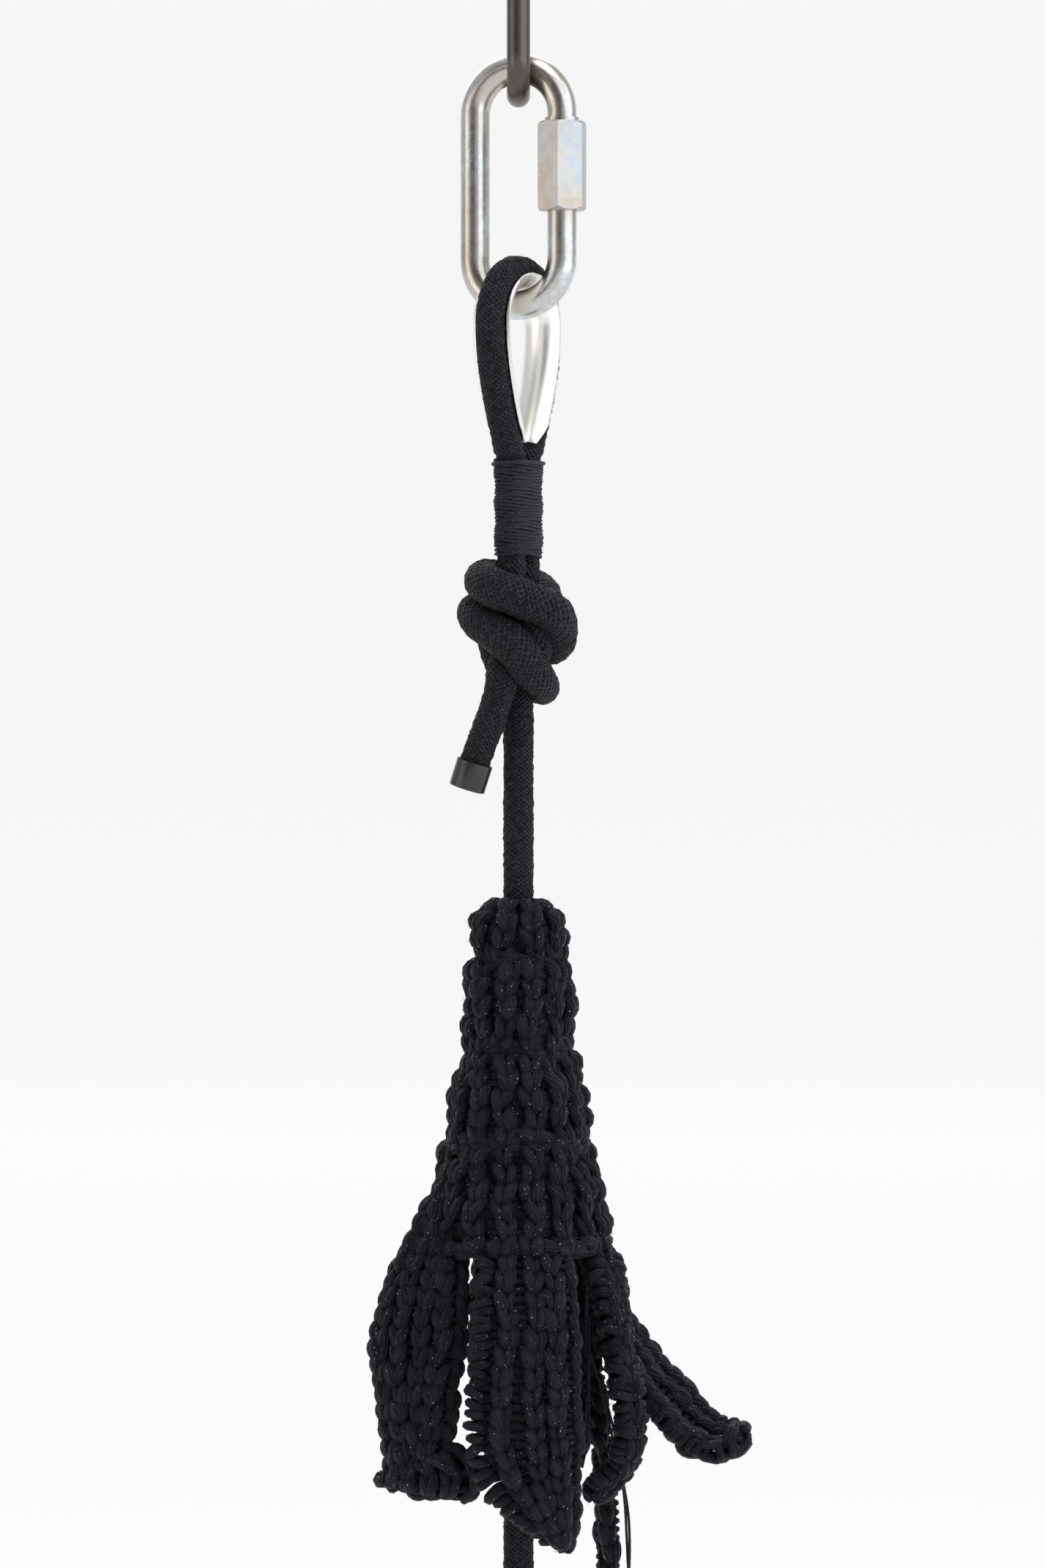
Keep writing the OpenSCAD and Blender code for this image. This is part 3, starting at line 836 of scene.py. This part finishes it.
class ROPE_OT_thimble(bpy.types.Operator):
    """Makes the bright channel inside the rope's eye"""
    bl_idname = "rope.thimble"
    bl_label = "Thimble"

    def execute(self, context):
        steel = plated_metal("thimble_steel", (0.92, 0.91, 0.88), (0.84, 0.78, 0.68),
                             (0.84, 0.88, 0.90), 0.26, stained=0.2, grain=0.05)
        half, other = (smooth_line(eye_half(side)[:-len(NECK_Z)], 4) for side in (1, -1))
        line = vectors(other[::-1] + half[1:])
        across = Vector((math.sin(EYE_TURN), -math.cos(EYE_TURN), 0))
        tans = tangents(line)
        groove = context.scene.rope_settings.rope_radius + 1.2
        spread, far_spread = 1.08, 0.14
        steps, half_angle = 14, 80
        verts, faces = [], []
        for i, (p, t) in enumerate(zip(line, tans)):
            inward = t.cross(across)
            narrow = min(1.0, 0.62 + 0.09 * min(i, len(line) - 1 - i))
            for k in range(steps + 1):
                a = math.radians((-half_angle + 2 * half_angle * k / steps) * narrow)
                wide = spread if a > 0 else spread + far_spread
                side = math.cos(a) * inward + wide * math.sin(a) * across
                verts.append((p + groove * side) * MM)
        for i in range(len(line) - 1):
            for k in range(steps):
                b = i * (steps + 1) + k
                faces.append((b, b + 1, b + steps + 2, b + steps + 1))
        piece = mesh_piece("thimble_channel", verts, faces, steel)
        finish_modifier(piece, "SOLIDIFY", thickness=1.15 * MM, offset=1.0)
        finish_modifier(piece, "BEVEL", width=0.3 * MM, segments=2, limit_method="ANGLE")
        bpy.ops.object.mode_set(mode="EDIT")
        bpy.ops.mesh.select_all(action="SELECT")
        bpy.ops.mesh.normals_make_consistent(inside=False)
        bpy.ops.object.mode_set(mode="OBJECT")
        bpy.ops.object.shade_smooth_by_angle(angle=math.radians(40))
        place_piece(piece, "rope", "thimble")
        return {"FINISHED"}


class ROPE_OT_rope(bpy.types.Operator):
    """Makes the braided rope: the tail's leg and the main leg, from the eye's crown"""
    bl_idname = "rope.rope"
    bl_label = "Rope"

    def execute(self, context):
        settings = context.scene.rope_settings
        LOOKS["cotton"] = braided_cotton(tuple(settings.cotton), tuple(settings.fleck))
        rng = random.Random(7)
        sides, relief, strands, slope, rough = 28, 0.15, 8, 2.3, 0.12
        for name, side, leg in (("rope_tail_leg", -1, TAIL_LEG), ("rope_main_leg", 1, MAIN_LEG)):
            line = even_line(smooth_line(eye_half(side) + leg, 5), 1.1)
            radii = []
            for i, p in enumerate(line):
                r = settings.rope_radius
                if WHIP_LOW - 2 < p.z < WHIP_TOP + 3:
                    r = settings.neck_radius
                # fuller on the front and the sides of the knot
                fade = clamp((p.z - KNOT_LOW) / 9) * clamp((KNOT_TOP - p.z) / 2) \
                    * clamp((7 - p.y) / 6)
                r += KNOT_SWELL * fade * clamp((math.hypot(p.x, p.y) - 6) / 4)
                radii.append(r + 0.05 * math.sin(0.7 * i) + 0.06 * math.sin(0.19 * i))
            radii[0] = settings.rope_radius
            yarns = Yarns()
            yarns.tube(line, radii, sides, start=(math.sin(EYE_TURN), -math.cos(EYE_TURN), 0))
            # the braid's relief: two waves that cross
            for i, p in enumerate(line[1:-1], 1):
                for k in range(sides):
                    a, v = angle(k, sides), i * sides + k
                    lift = relief * math.sin(strands * a + slope * i) \
                        + relief * math.sin(strands * a - slope * i) + rng.uniform(-rough, rough)
                    yarns.verts[v] += (yarns.verts[v] - p * MM).normalized() * lift * MM
            fuzz(yarns, rng, line, settings.rope_radius, 260 if side < 0 else 420, 1.3)
            piece = yarns.piece(name, LOOKS["cotton"])
            place_piece(piece, "rope", "rope")
            LEGS[name] = (piece, line)
        return {"FINISHED"}


class ROPE_OT_whipping(bpy.types.Operator):
    """Winds the thin cord round the two strands, and the hidden stop in the bell"""
    bl_idname = "rope.whipping"
    bl_label = "Windings"

    def execute(self, context):
        settings = context.scene.rope_settings
        rng = random.Random(11)
        # the whipping cord takes finer patches of painted highlight than the crochet yarn
        LOOKS["cord"] = spun_yarn("whipping_cord", times(4.2, settings.cotton),
                                  tuple(settings.fleck), 6.0, 0.74, 1700.0)
        yarns = Yarns()
        radius = settings.whip_radius
        reach = settings.neck_radius + radius
        along = Vector((math.cos(EYE_TURN), math.sin(EYE_TURN), 0))
        across = Vector((-math.sin(EYE_TURN), math.cos(EYE_TURN), 0))
        per = 28
        count = settings.whip_turns * per
        inset = 0.7

        def oval(a, wide, deep, z):
            """A point of the outline round both strands, that far out of each."""
            u = STRAND_U * clamp(1.6 * math.cos(a), -1.0, 1.0)
            return along * (u + wide * math.cos(a)) + across * deep * math.sin(a) \
                + Vector((0, 0, z))

        line = []
        for k in range(count + 1):
            a = angle(k, per)
            out = reach + (0.2 * math.sin(0.61 * k / per) + rng.uniform(-0.16, 0.16))
            z = WHIP_TOP - inset + (WHIP_LOW - WHIP_TOP + 2 * inset) * k / count
            line.append(oval(a, out, out, z + 0.3 * math.sin(2.1 * a) + rng.uniform(-0.2, 0.2)))
        yarns.tube(line, radius, 6, start=(0, 0, 1))
        tie = [oval(angle(k, per), reach + 0.9, reach + 0.7, WHIP_TOP - 1.8 + 0.05 * k)
               for k in range(per + 10)]
        yarns.tube(tie, 0.75, 7, start=(0, 0, 1))
        fuzz(yarns, rng, line, radius, 420, 1.2)
        piece = yarns.piece("whipping_turns", LOOKS["cord"])
        place_piece(piece, "rope", "whipping")
        stop = Yarns()
        per, turns, wide, top, high = 24, 9, 7.2, -347.8, 10
        coil = [polar(wide, angle(k, per), top - high * k / (per * turns))
                for k in range(per * turns + 1)]
        stop.tube(coil, 1.7, 7, start=(0, 0, 1))
        piece = stop.piece("stop_turns", LOOKS["cord"])
        place_piece(piece, "rope", "stop_winding")
        return {"FINISHED"}


class ROPE_OT_caps(bpy.types.Operator):
    """Makes the two black end caps over the ends of the rope's legs"""
    bl_idname = "rope.caps"
    bl_label = "End caps"

    def execute(self, context):
        settings = context.scene.rope_settings
        black = cap_plastic(tuple(settings.cap))
        tip, before = Vector(TAIL_LEG[-1]), Vector(TAIL_LEG[-2])
        ends = (("tail_cap", "rope_tail_leg", tip, (before - tip).normalized()),
                ("lower_cap", "rope_main_leg", Vector((0, 0, ROPE_END)), Vector((0, 0, 1))))
        depth, overlap = 9.6, 1.7
        for node, leg, at, up in ends:
            bpy.ops.object.select_all(action="DESELECT")
            bpy.ops.mesh.primitive_cylinder_add(vertices=64, radius=6.1 * MM, depth=depth * MM)
            cap = context.active_object
            cap.name = node + "_black"
            bpy.ops.object.mode_set(mode="EDIT")
            bpy.ops.mesh.select_all(action="DESELECT")
            bpy.ops.mesh.select_mode(type="FACE")
            shape = bmesh.from_edit_mesh(cap.data)
            for face in shape.faces:
                face.select = face.normal.z > 0.9
            bmesh.update_edit_mesh(cap.data)
            bpy.ops.mesh.inset(thickness=1.0 * MM)
            bpy.ops.transform.translate(value=(0, 0, -6.0 * MM))
            bpy.ops.object.mode_set(mode="OBJECT")
            finish_modifier(cap, "BEVEL", width=0.45 * MM, segments=3, limit_method="ANGLE")
            bpy.ops.object.shade_smooth_by_angle(angle=math.radians(35))
            turn = up.to_track_quat("Z", "Y").to_matrix().to_4x4()
            cap.data.transform(Matrix.Translation(at * MM) @ turn
                               @ Matrix.Translation((0, 0, (depth / 2 - overlap) * MM)))
            cap.data.materials.clear()
            cap.data.materials.append(black)
            place_piece(cap, "rope", node)
            piece, line = LEGS[leg]
            tuple(line[0] * MM)
            line_length(line) * MM
            [tuple(p * MM) for p in line]
        return {"FINISHED"}


def crochet(context, names, make, seed, count):
    """Makes the named pieces of the bell, each from its own seed, with count hairs."""
    for index, name in enumerate(names):
        rng = random.Random(seed + index)
        yarns = make(name, context.scene.crochet_settings, rng)
        hairs(yarns, rng, count)
        piece = yarns.piece(name + "_crochet", LOOKS["yarn"])
        place_piece(piece, "bell", name)
    return {"FINISHED"}


class ROPE_OT_bell(bpy.types.Operator):
    """Crochets the crown and the three tiers of the bell"""
    bl_idname = "rope.bell"
    bl_label = "Bell"

    def execute(self, context):
        settings = context.scene.crochet_settings
        LOOKS["yarn"] = spun_yarn("crochet_yarn", tuple(settings.yarn), tuple(settings.spark),
                                  1.1, 0.822)
        return crochet(context, TIERS, tier_piece, 100, 700)


class ROPE_OT_petals(bpy.types.Operator):
    """Crochets the petals and the hanging strip"""
    bl_idname = "rope.petals"
    bl_label = "Petals"

    def execute(self, context):
        return crochet(context, PETALS, petal_piece, 200, 500)


class ROPE_OT_yarn_tails(bpy.types.Operator):
    """Hangs the two thin yarn tails inside the bell"""
    bl_idname = "rope.yarn_tails"
    bl_label = "Yarn tails"

    def execute(self, context):
        rng = random.Random(31)
        for name, points, end in (("yarn_tail_long", LONG_TAIL, "knot"),
                                  ("yarn_tail_short", SHORT_TAIL, "bare")):
            line = even_line(smooth_line(points, 6), 1.2)
            yarns = Yarns()
            tans = tangents(line)
            for side in (1, -1):
                strand = []
                for i, (p, t) in enumerate(zip(line, tans)):
                    u = (Vector((1, 0, 0)) - t.x * t).normalized()
                    a = 0.11 * i
                    strand.append(p + side * 0.5 * (math.cos(a) * u + math.sin(a) * t.cross(u)))
                yarns.tube(strand, 0.52, 6)
            if end == "knot":
                centre = line[-1] + Vector((0, 0, 1.2))
                ring = [centre + polar(1.1, a, 0.5 * math.sin(2 * a))
                        for a in (angle(k, 14) for k in range(14))]
                yarns.tube(ring, 0.6, 6, start=(0, 0, 1), closed=True)
            fuzz(yarns, rng, line, 0.9, 60, 1.2)
            piece = yarns.piece(name + "_strands", LOOKS["cord"])
            place_piece(piece, "bell", name)
            tuple(line[0] * MM)
            line_length(line) * MM
            [tuple(p * MM) for p in line]
        return {"FINISHED"}


class ROPE_OT_stage(bpy.types.Operator):
    """Sets up the pale floor and backdrop, the lights and the camera"""
    bl_idname = "rope.stage"
    bl_label = "Stage"

    def execute(self, context):
        look = Look("pale_backdrop", Roughness=0.9, Base_Color=(0.2, 0.2, 0.2, 1.0),
                    Emission_Color=(1.0, 1.0, 1.0, 1.0), Emission_Strength=0.80)
        bpy.ops.object.select_all(action="DESELECT")
        bpy.ops.mesh.primitive_plane_add(size=24.0, location=(0, 0, 0))
        floor = context.active_object
        floor.name = "floor"
        bpy.ops.object.mode_set(mode="EDIT")
        bpy.ops.mesh.select_mode(type="EDGE")
        bpy.ops.mesh.select_all(action="DESELECT")
        shape = bmesh.from_edit_mesh(floor.data)
        for edge in shape.edges:
            edge.select = all(v.co.y > 11 for v in edge.verts)
        bmesh.update_edit_mesh(floor.data)
        bpy.ops.mesh.extrude_edges_move(TRANSFORM_OT_translate={"value": (0, 0, 9.0)})
        bpy.ops.object.mode_set(mode="OBJECT")
        floor.data.transform(Matrix.Translation((0, -2.0, -0.82)))
        floor.location = (0, 0, 0)
        finish_modifier(floor, "BEVEL", width=2.5, segments=12, limit_method="ANGLE")
        bpy.ops.object.shade_smooth()
        floor.data.materials.append(look.material)

        world = bpy.data.worlds.new("studio")
        context.scene.world = world
        world.use_nodes = True
        # soft light and dark patches for the metal to mirror, and plain white in front
        sky = Tree(world.node_tree, "Generated")
        patches = sky.ramp(sky.noise(1.9, 0.5),
                           ((0.40, (0.12, 0.105, 0.09)), (0.49, (0.34, 0.30, 0.25)),
                            (0.55, (0.62, 0.62, 0.61)), (0.64, (0.85, 0.90, 0.97))))
        behind = sky.node("ShaderNodeMapRange", None,
                          {"Value": sky.parts(sky.place)[1], "From Min": -0.2, "From Max": -0.5})
        shade = sky.blend(behind, (0.92, 0.94, 0.97), patches)
        background = sky.tree.nodes["Background"].inputs
        sky.link(shade, background["Color"])
        background["Strength"].default_value = 0.62
        view = context.scene.view_settings
        view.view_transform = "Standard"
        view.look = "None"
        lamps = (("key", (1.25, -0.9, 0.35), 2.2, 20.0, (0.93, 0.96, 1.0)),
                 ("fill", (-1.5, -0.7, -0.1), 1.0, 3.5, (1.0, 0.93, 0.84)),
                 ("top", (0.2, -0.3, 1.2), 1.0, 9.0, (1.0, 1.0, 1.0)),
                 ("back", (-0.3, 1.2, 0.9), 1.6, 8.0, (1.0, 1.0, 1.0)))
        for name, at, size, power, colour in lamps:
            bpy.ops.object.light_add(type="AREA", location=at)
            lamp = context.active_object
            lamp.name = name
            lamp.data.size = size
            lamp.data.energy = power
            lamp.data.color = colour
            aim = Vector((0, 0, -0.3)) - Vector(at)
            lamp.rotation_euler = aim.to_track_quat("-Z", "Y").to_euler()

        distance, seen_high, sensor = 2.2, 0.526, 36.0
        middle_x, middle_z = 0.00135, -0.296
        eye = bpy.data.cameras.new("camera")
        eye.lens = sensor * distance / seen_high
        camera = bpy.data.objects.new("camera", eye)
        camera.location = (middle_x, -distance, middle_z)
        camera.rotation_euler = (math.radians(90), 0, 0)
        context.scene.collection.objects.link(camera)
        context.scene.camera = camera
        return {"FINISHED"}


class ROPE_PT_panel(bpy.types.Panel):
    """Lists the settings and the steps"""
    bl_idname = "ROPE_PT_panel"
    bl_label = "Hanging rope"
    bl_space_type = "VIEW_3D"
    bl_region_type = "UI"
    bl_category = "Rope"

    def draw(self, context):
        for group, kind in ((context.scene.rope_settings, RopeSettings),
                            (context.scene.crochet_settings, CrochetSettings)):
            for key in kind.__annotations__:
                self.layout.prop(group, key)
        for step in STEPS:
            self.layout.operator(step.bl_idname)


STEPS = (ROPE_OT_stage, ROPE_OT_metal, ROPE_OT_thimble, ROPE_OT_rope, ROPE_OT_whipping,
         ROPE_OT_caps, ROPE_OT_bell, ROPE_OT_petals, ROPE_OT_yarn_tails)
CLASSES = (RopeSettings, CrochetSettings, *STEPS, ROPE_PT_panel)


def register():
    for kind in CLASSES:
        bpy.utils.register_class(kind)
    bpy.types.Scene.rope_settings = bpy.props.PointerProperty(type=RopeSettings)
    bpy.types.Scene.crochet_settings = bpy.props.PointerProperty(type=CrochetSettings)


def unregister():
    del bpy.types.Scene.crochet_settings
    del bpy.types.Scene.rope_settings
    for kind in reversed(CLASSES):
        bpy.utils.unregister_class(kind)


def main():
    register()
    bpy.ops.rope.stage()
    bpy.ops.rope.metal()
    bpy.ops.rope.thimble()
    bpy.ops.rope.rope()
    bpy.ops.rope.whipping()
    bpy.ops.rope.caps()
    bpy.ops.rope.bell()
    bpy.ops.rope.petals()
    bpy.ops.rope.yarn_tails()


if __name__ == "__main__":
    main()
